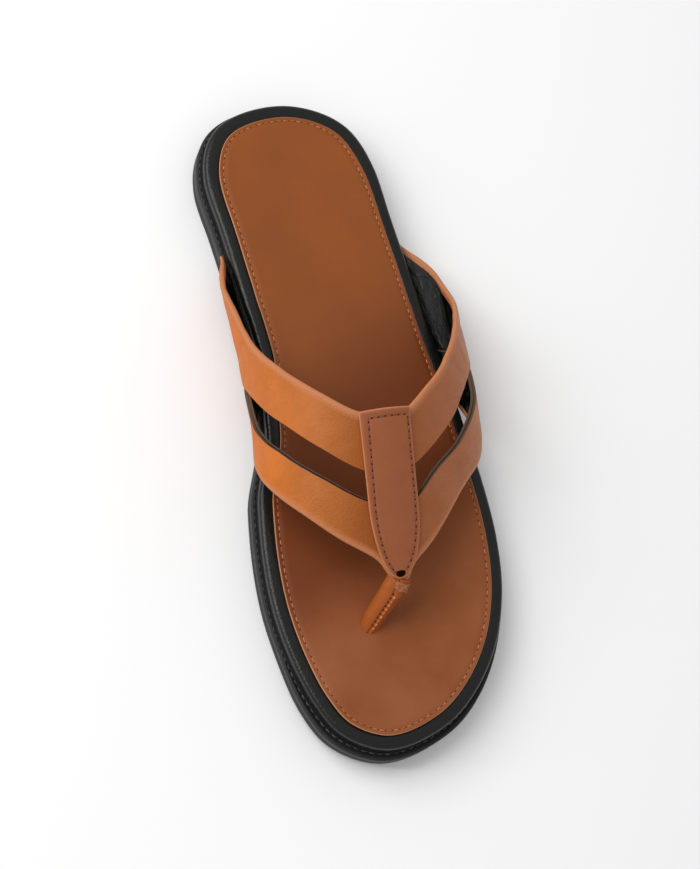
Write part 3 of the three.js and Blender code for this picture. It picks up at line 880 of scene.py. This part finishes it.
def strap_blank(name, columns, depth):
    """The upper's blank laid on the last at a depth, with its two windows cut out."""
    rows = round(2 / SHARE_STEP) + 1

    def place(row, column):
        share = 1 - row * SHARE_STEP
        column = columns[column]
        if len(column) == 3:
            return off_edge(column[0], share, column[1], column[2])
        first, last, part, first_clear, last_clear = column
        start = edges[first](share) + first_clear
        end = edges[last](share) - last_clear
        y = start + (end - start) * part
        return on_last(y, share, -depth - crease(y, share))

    blank = laid_grid(name, rows, len(columns), place)
    blank.data.attributes.new("turned", "FLOAT", "POINT")
    blank.data.attributes.new("trimmed", "FLOAT", "POINT")
    turned = blank.data.attributes["turned"]
    trimmed = blank.data.attributes["trimmed"]
    for vertex in blank.data.vertices:
        column = columns[vertex.index % len(columns)]
        turned.data[vertex.index].value = float(len(column) == 3)
        trimmed.data[vertex.index].value = float(column[:3] == ("front", "window_front", 1))
    gap = [i for i, c in enumerate(columns) if c[0] == "window_front" and c[1] == "window_rear"]
    bpy.ops.object.mode_set(mode="EDIT")
    mesh = bmesh.from_edit_mesh(blank.data)
    mesh.verts.ensure_lookup_table()
    bpy.ops.mesh.select_all(action="DESELECT")
    for face in mesh.faces:
        rows_columns = [divmod(vertex.index, len(columns)) for vertex in face.verts]
        in_gap = all(gap[0] - 1 <= column <= gap[-1] + 1 for _, column in rows_columns)
        shares = [1 - row * SHARE_STEP for row, _ in rows_columns]
        window_end = WINDOW_END[1 if sum(shares) > 0 else -1]
        from_crown = [abs(share) for share in shares]
        if in_gap and min(from_crown) > WINDOW_START - 0.001 and max(from_crown) < window_end + 0.001:
            face.select_set(True)
    bpy.ops.mesh.delete(type="FACE")
    bpy.ops.object.mode_set(mode="OBJECT")
    return blank


fold = []
for k in range(FOLD_STEPS + 1):
    angle = math.pi * k / FOLD_STEPS
    fold.append((FOLD_RADIUS * (1 - math.sin(angle)), FOLD_RADIUS * (1 - math.cos(angle))))
fold.append((FOLD_RADIUS + TURNED_IN, LEATHER))
leather_columns = [
    *[("front", inset, depth) for inset, depth in reversed(fold)],
    *run("front", "window_front", FRONT_COLUMNS, EDGE_CLEAR, 0),
    *run("window_front", "window_rear", WINDOW_COLUMNS, 0, 0)[1:-1],
    *run("window_rear", "collar", REAR_COLUMNS, 0, EDGE_CLEAR),
    *[("collar", inset, depth) for inset, depth in fold],
]
straps = strap_blank("straps", leather_columns, 0)

# Oiled tan leather: full-grain cowhide, dyed orange-tan and hand-oiled. It gives a soft sheen over a fine
# pebble grain, with painted light and shade across the straps, bright orange on the medial bend that faces
# the light and darker and duller towards the lateral side, and a painted highlight as a paler line where it
# is turned over an edge.
TAN_LIGHT_AND_SHADE_ACROSS = (  # share of the way from the medial bend to the lateral one, and the leather's tone with painted light and shade there
    (0, "#c4681a"),
    (0.18, "#b4682e"),
    (0.38, "#944e19"),
    (0.62, "#a05e38"),
    (0.98, "#b46c40"),
)
tan_leather = new_material(
    "oiled_tan_leather",
    {"Specular IOR Level": 0.22, "IOR": 1.46, "Coat Weight": 0.04, "Coat Roughness": 0.4},
)
coordinates = add(tan_leather, "TexCoord").outputs["Object"]
across = add(tan_leather, "SeparateXYZ", {"Vector": coordinates}).outputs["X"]
to_lateral = add(tan_leather, "MapRange", {"Value": across, "From Min": -0.05, "From Max": 0.05})
# Painted light and shade: the tone runs from a bright orange on the lit medial bend to darker and duller
# browns towards the middle and the lateral side.
side_light_and_shade = add(tan_leather, "ValToRGB", {"Fac": to_lateral})
for place, tone in TAN_LIGHT_AND_SHADE_ACROSS:
    stop = side_light_and_shade.color_ramp.elements.new(place) if place else side_light_and_shade.color_ramp.elements[0]
    stop.color = colour(tone)
side_light_and_shade.color_ramp.elements.remove(side_light_and_shade.color_ramp.elements[-1])
_, pulled_up_and_shaded = patches(tan_leather, 14, 5, 0.62, side_light_and_shade, "#8c4716", (0.4, 0.8), 0.5)
# Painted highlight: the turned-over folds are mixed to a paler tan.
fold_highlight = by_attribute(tan_leather, "turned", (0, 1), pulled_up_and_shaded, "#b8744a")
grain = add(
    tan_leather,
    "TexVoronoi",
    {"Vector": coordinates, "Scale": per_mm(0.8), "Smoothness": 0.6},
    feature="SMOOTH_F1",
)
fine_grain = add(
    tan_leather, "TexNoise", {"Vector": coordinates, "Scale": per_mm(1.6), "Detail": 5, "Roughness": 0.7}
)
grain_height = add(tan_leather, "Math", {0: fine_grain, 1: 1.4, 2: grain}, operation="MULTIPLY_ADD")
sheen = add(tan_leather, "MapRange", {"Value": fine_grain, "To Min": 0.36, "To Max": 0.58})
finish_material(tan_leather, fold_highlight, grain_height, 0.16, sheen)

# Raw edge: the cut side of the leather, browned with edge dye, with the fibres still rough. It gives a dull
# band, and the lining's trimmed edge beside it takes the same dye.
dyed_edge = new_material("dyed_cut_edge", {"Roughness": 0.75})
fibres, dyed = patches(dyed_edge, 0.8, 4, 0.7, "#3b2a1f", "#6e533d")
finish_material(dyed_edge, dyed, fibres, 0.1)
straps.data.materials.append(tan_leather)
straps.data.materials.append(dyed_edge)
apply_modifier(straps, "SOLIDIFY", thickness=OUTER_PLY * MM, offset=-1, material_offset_rim=1)
bpy.ops.object.shade_smooth_by_angle(angle=math.radians(50))
keep(straps, "strap_leather", "upper")

# Strap lining: thin black glazed leather, glued flesh to flesh under the straps and trimmed inside the
# turned edges. It has pulled into fine wrinkles where the straps bend, with painted highlights in grey along
# their ridges.
LINING_PLY = 1.1
LINING_DEPTH = 1.25
LINING_SHOWS = 0.8  # the lining is trimmed this far outside the front strap's cut edge
LINING_CLEAR = EDGE_CLEAR + 3.5
lining_inset = FOLD_RADIUS + TURNED_IN + 0.2
lining_columns = [
    ("front", lining_inset, LINING_DEPTH),
    *run("front", "window_front", FRONT_COLUMNS, LINING_CLEAR, -LINING_SHOWS),
    *run("window_front", "window_rear", WINDOW_COLUMNS, LINING_SHOWS, 0)[1:-1],
    *run("window_rear", "collar", REAR_COLUMNS, 0, LINING_CLEAR),
    ("collar", lining_inset, LINING_DEPTH),
]
lining = strap_blank("strap_lining", lining_columns, LINING_DEPTH)
glazed_lining = new_material("black_glazed_lining", {"Specular IOR Level": 0.16, "IOR": 1.45})
coordinates = add(glazed_lining, "TexCoord").outputs["Object"]
stretched = add(glazed_lining, "Mapping", {"Vector": coordinates, "Scale": (1, 0.4, 1)}).outputs["Vector"]
wrinkles = add(
    glazed_lining,
    "TexNoise",
    {"Vector": stretched, "Scale": per_mm(3.5), "Detail": 5, "Roughness": 0.6, "Distortion": 0.8},
)
# Painted highlights: the wrinkles' ridges, where the bump is highest, are mixed to grey.
crinkle_highlight_mask = add(glazed_lining, "MapRange", {"Value": wrinkles, "From Min": 0.56, "From Max": 0.74})
black_with_painted_highlights = add(
    glazed_lining, "Mix", {FACTOR: crinkle_highlight_mask, TONE_A: "#070605", TONE_B: "#4a4846"}, data_type="RGBA"
)
gloss = add(glazed_lining, "MapRange", {"Value": wrinkles, "To Min": 0.45, "To Max": 0.25})
edge_dyed = by_attribute(glazed_lining, "trimmed", (0.3, 0.45), black_with_painted_highlights, "#54412f")
finish_material(glazed_lining, edge_dyed, wrinkles, 0.6, gloss)
lining.data.materials.append(glazed_lining)
lining.data.materials.append(dyed_edge)
apply_modifier(lining, "SOLIDIFY", thickness=LINING_PLY * MM, offset=-1, material_offset_rim=1)
bpy.ops.object.shade_smooth_by_angle(angle=math.radians(50))
keep(lining, "strap_leather")

# Centre strip: a tongue-shaped strip of duller brown leather laid over the seam of the straps and stitched
# down all round, 1 to 3 mm in from its edge, so that the edge stands up as a lip.
STRIP_HALF_WIDTH = 10.35
STRIP_TOP = -15.2
STRIP_TOP_SLANT = 1.0  # the lateral corner of the top end lies this far nearer the heel
STRIP_TIP = -78.2
STRIP_TAPER = 28
STRIP_TIP_POWER = 2.0  # 2 is an ellipse, more is squarer
STRIP_LINE = {"y": (-77, -66, -50, -15), "shift": (0.1, 0.35, 0.2, -0.1)}  # off the crown line
STRIP_FACE = 1.6  # the strip's face over the straps' face
STRIP_EDGE_RADIUS = 0.45
STRIP_STITCH_INSET = {"top": 3.0, "medial": 3.4, "medial_tip": 1.9, "lateral": 1.25, "lateral_tip": 1.7}
STRIP_BASE = 0.12  # the strip's underside over the straps' face
STRIP_CHANNEL_DEPTH = 0.22
STRIP_LIP_HIGHLIGHT_END = (6, 7.4)  # ring numbers over which the painted highlight on the lip gives way to the strip's face
STRIP_SQUEEZE = 10  # stretch below the top end over which an inset outline makes up its shift
SIDE_STEPS = 40
TIP_STEPS = 36
TOP_STEPS = 28
HALVINGS = 16


def share_at(y, x):
    """Signed share of the arch at which the last's face reaches a place across."""
    middle_x = crown_x(y)
    side = -1 if x < middle_x else 1
    low = 0.0
    high = WIDEST
    for _ in range(HALVINGS):
        middle = (low + high) / 2
        if abs(last_point(y, side * middle).x - middle_x) < abs(x - middle_x):
            low = middle
        else:
            high = middle
    return side * (low + high) / 2


def strip_outline():
    """The strip's edge seen from above, from its top medial corner round the tip and back, then along the
    top: each point with the way out of the strip."""
    straight_end = STRIP_TIP + STRIP_TAPER
    half = []
    for k in range(SIDE_STEPS):
        half.append((STRIP_TOP + (straight_end - STRIP_TOP) * k / SIDE_STEPS, STRIP_HALF_WIDTH))
    for k in range(TIP_STEPS + 1):
        taper = math.sin(math.pi / 2 * k / TIP_STEPS)
        width = STRIP_HALF_WIDTH * math.sqrt(max(0, 1 - taper**STRIP_TIP_POWER))
        half.append((straight_end - STRIP_TAPER * taper, width))
    edge = [Vector((-width, y, 0)) for y, width in half]
    edge += [Vector((width, y, 0)) for y, width in reversed(half[:-1])]
    offs = []
    for i, point in enumerate(edge):
        ahead = edge[min(i + 1, len(edge) - 1)] - edge[max(i - 1, 0)]
        offs.append(Vector((ahead.y, -ahead.x, 0)).normalized())
    return edge, offs


strip_edge, strip_offs = strip_outline()
strip_shift = through(STRIP_LINE["y"], STRIP_LINE["shift"])


def stitch_inset(point):
    """How far in from the strip's edge the stitching runs beside a point of the edge."""
    to_tip = (STRIP_TOP - point.y) / (STRIP_TOP - STRIP_TIP)
    across = (point.x / STRIP_HALF_WIDTH + 1) / 2
    medial = STRIP_STITCH_INSET["medial"] * (1 - to_tip) + STRIP_STITCH_INSET["medial_tip"] * to_tip
    lateral = STRIP_STITCH_INSET["lateral"] * (1 - to_tip) + STRIP_STITCH_INSET["lateral_tip"] * to_tip
    return medial * (1 - across) + lateral * across


def strip_ring(inset, lift, beside_stitches=False):
    """A ring round the strip, in from its edge or beside its stitching, at a height over the straps."""
    flat = []
    for point, off in zip(strip_edge, strip_offs):
        side_inset = inset + (stitch_inset(point) if beside_stitches else 0)
        top_inset = inset + (STRIP_STITCH_INSET["top"] if beside_stitches else 0)
        near_top = max(0, 1 - (STRIP_TOP - point.y) / STRIP_SQUEEZE)
        slant = STRIP_TOP_SLANT * (point.x / STRIP_HALF_WIDTH + 1) / 2
        flat.append(point - off * side_inset + Vector((0, (slant - top_inset) * near_top, 0)))
    last_corner = flat[-1]
    first_corner = flat[0]
    for k in range(1, TOP_STEPS):
        flat.append(last_corner.lerp(first_corner, k / TOP_STEPS))
    return [strip_place(point, lift) for point in flat]


def strip_place(point, lift):
    x = crown_x(point.y) + strip_shift(point.y) + point.x
    return on_last(point.y, share_at(point.y, x), lift)


def strip_cap(lift):
    """Lays a point of a cap back on the straps, at a height over their face."""

    def lay(point):
        y = point.y
        for _ in range(3):
            place = on_last(y, share_at(y, point.x), lift)
            y += point.y - place.y
        return on_last(y, share_at(y, point.x), lift)

    return lay


strip_rings = [strip_ring(0.3, STRIP_BASE), strip_ring(0, 0.3)]
for k in range(6):
    angle = math.pi / 2 * k / 5
    edge_inset = STRIP_EDGE_RADIUS * (1 - math.cos(angle))
    strip_rings.append(strip_ring(edge_inset, STRIP_FACE - STRIP_EDGE_RADIUS * (1 - math.sin(angle))))
strip_rings += [
    strip_ring(-0.5, STRIP_FACE - 0.02, True),
    strip_ring(-0.3, STRIP_FACE - STRIP_CHANNEL_DEPTH * 0.8, True),
    strip_ring(0, STRIP_FACE - STRIP_CHANNEL_DEPTH, True),
    strip_ring(0.4, STRIP_FACE - STRIP_CHANNEL_DEPTH * 0.8, True),
    strip_ring(1.0, STRIP_FACE, True),
]
vamp_strip = ringed_piece(
    "vamp_strip", strip_rings, strip_cap(STRIP_BASE), strip_cap(STRIP_FACE), span=TOP_STEPS, turn=0
)

# Brown strip leather: corrected grain, dyed duller than the straps and pressed flat. It gives an even satin
# face with faint pores, and a painted highlight as a pale lip along its rounded cut edge.
strip_leather = new_material(
    "brown_corrected_leather", {"Roughness": 0.5, "Specular IOR Level": 0.3, "IOR": 1.46}
)
coordinates = add(strip_leather, "TexCoord").outputs["Object"]
_, brown = patches(strip_leather, 9, 5, 0.6, "#8e4d2e", "#9c5b37")
# Painted highlight: the edge's rings are mixed to a pale lip.
lip_highlight = by_attribute(strip_leather, "ring", STRIP_LIP_HIGHLIGHT_END, "#b8754c", brown)
pores = add(
    strip_leather,
    "TexVoronoi",
    {"Vector": coordinates, "Scale": per_mm(0.9), "Smoothness": 0.6},
    feature="SMOOTH_F1",
)
finish_material(strip_leather, lip_highlight, pores, 0.07)
vamp_strip.data.materials.append(strip_leather)
keep(vamp_strip, "strip_leather", "vamp_strip")

# Strip stitching: a darker waxed thread in punched holes, a row across the top, down both sides and round
# the tip.
STRIP_STITCH_PITCH = 2.8
STRIP_STITCH = (2.0, 0.6, 0.5)
STRIP_STITCH_HOLE = (1.0, 0.8, 0.3)
line = []
for point in strip_ring(0, STRIP_FACE - STRIP_CHANNEL_DEPTH, True):
    line.append((point, last_normal(point.y, share_at(point.y, point.x))))
tan_thread = thread_material("tan_waxed_thread", "#8c5030", "#6e3518")
pitch = STRIP_STITCH_PITCH
sew("strip_stitches", line, pitch, True, 0, STRIP_STITCH, 0.05, tan_thread, "strip_leather")
sew("strip_stitch_holes", line, pitch, True, 0.5, STRIP_STITCH_HOLE, 0.02, awl_hole, "strip_leather")

# Toe post: smooth tan leather rolled round a cord, its edges brought together and lapped flat along the
# outer side by a stitched band. It rises from the hole in the insole to the tip of the vamp.
POST_LINE = {
    "x": (-13.4, -9.9, -5.8, -2.4, 0.2),
    "y": (-95.6, -90.7, -85.0, -80.4, -76.2),
    "z": (11, 18, 26.2, 32.4, 36.4),
    "radius": (4.1, 4.1, 4.3, 4.6, 4.6),
}
POST_ROWS = 64
POST_COLUMNS = 96
BAND_RISE = 0.5  # the lapped band over the roll
BAND_FROM = -14  # degrees round the roll, from the picture's right towards the camera
BAND_TO = 79
SEAM_TURN = 87  # a groove runs beside the band
SEAM_DEPTH = 0.35
BAND_SLOPES = (9, 6)  # degrees over which the band rises and falls
SEAM_WIDTH = 5  # degrees
POST_END = 0.03  # left off at each end, in rows of its table
POST_FOLD = 0.12  # depth of the soft folds near the top
POST_FOLD_AT = 3  # their middle along the post, and how far they reach from it
POST_FOLD_REACH = 0.8
post_stations = tuple(range(len(POST_LINE["x"])))
post_x, post_y, post_z, post_radius = (
    through(post_stations, POST_LINE[column]) for column in ("x", "y", "z", "radius")
)


def post_axis(at):
    return Vector((post_x(at), post_y(at), post_z(at)))


def post_point(at, degrees, lift=0.0):
    """A point on the roll, or over it, at an angle from the picture's right towards the camera."""
    along = (post_axis(at + 0.02) - post_axis(at - 0.02)).normalized()
    right = (camera_right - along * camera_right.dot(along)).normalized()
    front = right.cross(along).normalized()
    front = front if front.dot(camera_back) > 0 else -front
    turn = math.radians(degrees)
    return post_axis(at) + (right * math.cos(turn) + front * math.sin(turn)) * (post_radius(at) + lift)


def band_lift(degrees):
    """The lapped band's rise over the roll and the seam's groove beside it."""
    degrees = (degrees + 180) % 360 - 180
    rise = min(max((degrees - BAND_FROM) / BAND_SLOPES[0], 0), 1)
    inside = rise * min(max((BAND_TO - degrees) / BAND_SLOPES[1], 0), 1)
    groove = math.exp(-(((degrees - SEAM_TURN) / SEAM_WIDTH) ** 2))
    return BAND_RISE * inside * (2 - inside) - SEAM_DEPTH * groove


def post_place(row, column):
    """The roll, with a few soft folds near its top."""
    at = POST_END + (post_stations[-1] - 2 * POST_END) * row / (POST_ROWS - 1)
    degrees = 360 * column / (POST_COLUMNS - 1)
    fade = max(0, 1 - abs(at - POST_FOLD_AT) / POST_FOLD_REACH)
    fold = POST_FOLD * math.sin(at * 9 + math.radians(degrees) * 2) * fade
    return post_point(at, degrees, band_lift(degrees) + fold)


toe_post = laid_grid("toe_post", POST_ROWS, POST_COLUMNS, post_place)
bpy.ops.object.mode_set(mode="EDIT")
bpy.ops.mesh.select_all(action="SELECT")
bpy.ops.mesh.remove_doubles(threshold=0.01 * MM)
bpy.ops.mesh.select_all(action="DESELECT")
mesh = bmesh.from_edit_mesh(toe_post.data)
for edge in mesh.edges:
    edge.select_set(edge.is_boundary)
bpy.ops.mesh.edge_face_add()
bpy.ops.mesh.select_all(action="SELECT")
bpy.ops.mesh.normals_make_consistent(inside=False)
bpy.ops.object.mode_set(mode="OBJECT")
post_leather = new_material(
    "smooth_tan_leather", {"Roughness": 0.42, "Specular IOR Level": 0.25, "IOR": 1.46, "Coat Weight": 0.04}
)
clouds, tan = patches(post_leather, 6, 4, 0.6, "#944716", "#a85820")
finish_material(post_leather, tan, clouds, 0.15)
toe_post.data.materials.append(post_leather)
bpy.ops.object.shade_smooth_by_angle(angle=math.radians(50))
keep(toe_post, "post_leather", "toe_post")

# Post collar: the end of the vamp's leather turned down round the top of the roll and gathered in small
# folds, with a rolled hem. It shows its paler, crumpled flesh side, with painted highlights on the crumples'
# ridges and painted shade between them.
COLLAR_ROWS = 26
COLLAR_COLUMNS = 60
COLLAR_START = 3.36  # along the post, in rows of its table
COLLAR_END = 3.8
COLLAR_FROM = -60
COLLAR_TO = 96
COLLAR_SPREAD = 26  # it reaches this much further round at its top
COLLAR_LIFT = 0.75  # over the roll
COLLAR_THICKNESS = 0.6
COLLAR_SLANT = 0.42  # it reaches this much further down the roll on its far side
COLLAR_FOLDS = ((0.15, 7, 3), (0.1, 13, -5))  # depth, half waves round, slant
FOLDS_AT_TOP = 0.4  # share of the folds' depth at the collar's top
HEM_WAVE = 0.05
HEM_HALF_WAVES = 5
HEM_ROLL = 0.35  # how far the rolled hem stands out, where it is and how wide, as shares of the collar
HEM_ROLL_PLACE = 0.92
HEM_ROLL_WIDTH = 0.1


def collar_place(row, column):
    down = row / (COLLAR_ROWS - 1)
    round_share = column / (COLLAR_COLUMNS - 1)
    degrees = COLLAR_FROM + (COLLAR_TO + COLLAR_SPREAD * (1 - down) - COLLAR_FROM) * round_share
    wave = HEM_WAVE * math.sin(HEM_HALF_WAVES * math.pi * round_share + 0.6)
    hem = wave + COLLAR_SLANT * (1 - round_share)
    at = COLLAR_END - (COLLAR_END - COLLAR_START + hem) * down
    folds = 0.0
    for depth, half_waves, slant in COLLAR_FOLDS:
        folds += depth * math.sin(half_waves * math.pi * round_share + slant * down)
    folds *= FOLDS_AT_TOP + (1 - FOLDS_AT_TOP) * down
    rolled_hem = HEM_ROLL * math.exp(-(((down - HEM_ROLL_PLACE) / HEM_ROLL_WIDTH) ** 2))
    return post_point(at, degrees, COLLAR_LIFT + folds + rolled_hem)


post_collar = laid_grid("post_collar", COLLAR_ROWS, COLLAR_COLUMNS, collar_place)
flesh_side = new_material("pale_turned_leather", {"Roughness": 0.6, "Specular IOR Level": 0.35})
# Painted light and shade: the crumples' pattern also lifts the bump, so its ridges are paler and its hollows
# browner.
crumple, crumples_lit_and_shaded = patches(flesh_side, 1.4, 4, 0.6, "#85461f", "#b27048", (0.35, 0.65))
finish_material(flesh_side, crumples_lit_and_shaded, crumple, 0.2)
post_collar.data.materials.append(flesh_side)
apply_modifier(post_collar, "SOLIDIFY", thickness=COLLAR_THICKNESS * MM, offset=0)
bpy.ops.object.shade_smooth_by_angle(angle=math.radians(60))
keep(post_collar, "post_leather")

# Tip hole: where the post's cord goes up through the vamp, a flat dark oval of painted shade sunk in the
# strip's tip, standing for the hole.
TIP_HOLE = (-76.1, -0.7)  # station and place across
TIP_HOLE_SIZE = (5.0, 3.7, 1.6)
TIP_HOLE_SUNK = 0.5  # below the strip's face
TIP_HOLE_LENGTHWISE = Vector((1, 0.1, 0))
tip_share = share_at(*TIP_HOLE)
tip_normal = last_normal(TIP_HOLE[0], tip_share)
tip_along = TIP_HOLE_LENGTHWISE.cross(tip_normal).cross(tip_normal) * -1
tip_place = on_last(TIP_HOLE[0], tip_share, STRIP_FACE - TIP_HOLE_SUNK)
tip_hole = laid_copies("tip_hole", stitch_model, [(tip_place, tip_along, tip_normal)], TIP_HOLE_SIZE, 0)
deep_shade = new_material(
    "deep_shade", {"Base Color": "#140703", "Roughness": 1, "Specular IOR Level": 0.05}
)
tip_hole.data.materials.append(deep_shade)
keep(tip_hole, "strip_leather")

# Post stitching: a close row of light thread along the band's edge, with its holes in the seam's groove.
POST_STITCH_PITCH = 2.2
POST_STITCH = (1.3, 0.75, 0.6)
POST_STITCH_HOLE = (0.9, 0.8, 0.4)
POST_STITCH_FROM = 1.03  # along the post, in rows of its table
POST_STITCH_TO = 3.05
POST_STITCH_STEPS = 39
line = []
holes = []
for k in range(POST_STITCH_STEPS + 1):
    at = POST_STITCH_FROM + (POST_STITCH_TO - POST_STITCH_FROM) * k / POST_STITCH_STEPS
    up = (post_point(at, BAND_TO - 2) - post_axis(at)).normalized()
    line.append((post_point(at, BAND_TO - 4, BAND_RISE), up))
    holes.append((post_point(at, SEAM_TURN - 1, -0.1), up))
light_thread = thread_material("light_waxed_thread", "#dc9460", "#b8693a")
pitch = POST_STITCH_PITCH
sew("post_stitches", line, pitch, False, 0, POST_STITCH, 0.02, light_thread, "post_leather")
sew("post_stitch_holes", holes, pitch, False, 0.5, POST_STITCH_HOLE, 0, awl_hole, "post_leather")
bpy.data.objects.remove(stitch_model)

# Studio: a pale matt floor, a broad soft light over the heel's inner side, a narrow one beside it that
# draws a line of light along the rims, and an even white surround.
FLOOR_SIZE = 6.0
KEY_PLACE = Vector((-0.8, 0.5, 1.1))
KEY_SIZE = 1.2
KEY_POWER = 12
EDGE_PLACE = Vector((-1.1, 0.1, 0.75))
EDGE_SIZE = (0.05, 1.0)
EDGE_POWER = 2.6
WORLD_STRENGTH = 0.6
bpy.ops.object.select_all(action="DESELECT")
bpy.ops.mesh.primitive_plane_add(size=FLOOR_SIZE)
floor = bpy.context.object
floor.name = "floor"
floor_paper = new_material("pale_matt_paper", {"Base Color": "#f7f7f7", "Roughness": 0.9})
floor.data.materials.append(floor_paper)
bpy.ops.object.light_add(type="AREA", location=KEY_PLACE)
key = bpy.context.object
key.name = "key_light"
key.data.shape = "DISK"
key.data.size = KEY_SIZE
key.data.energy = KEY_POWER
key.rotation_euler = (CAMERA_AIM - KEY_PLACE).to_track_quat("-Z", "Y").to_euler()
bpy.ops.object.light_add(type="AREA", location=EDGE_PLACE)
edge_light = bpy.context.object
edge_light.name = "edge_light"
edge_light.data.shape = "RECTANGLE"
edge_light.data.size = EDGE_SIZE[0]
edge_light.data.size_y = EDGE_SIZE[1]
edge_light.data.energy = EDGE_POWER
edge_light.rotation_euler = (CAMERA_AIM - EDGE_PLACE).to_track_quat("-Z", "Y").to_euler()
world = bpy.data.worlds.new("studio")
world.use_nodes = True
background = world.node_tree.nodes["Background"]
background.inputs["Color"].default_value = (1, 1, 1, 1)
background.inputs["Strength"].default_value = WORLD_STRENGTH
bpy.context.scene.world = world
bpy.context.scene.view_settings.view_transform = "Standard"
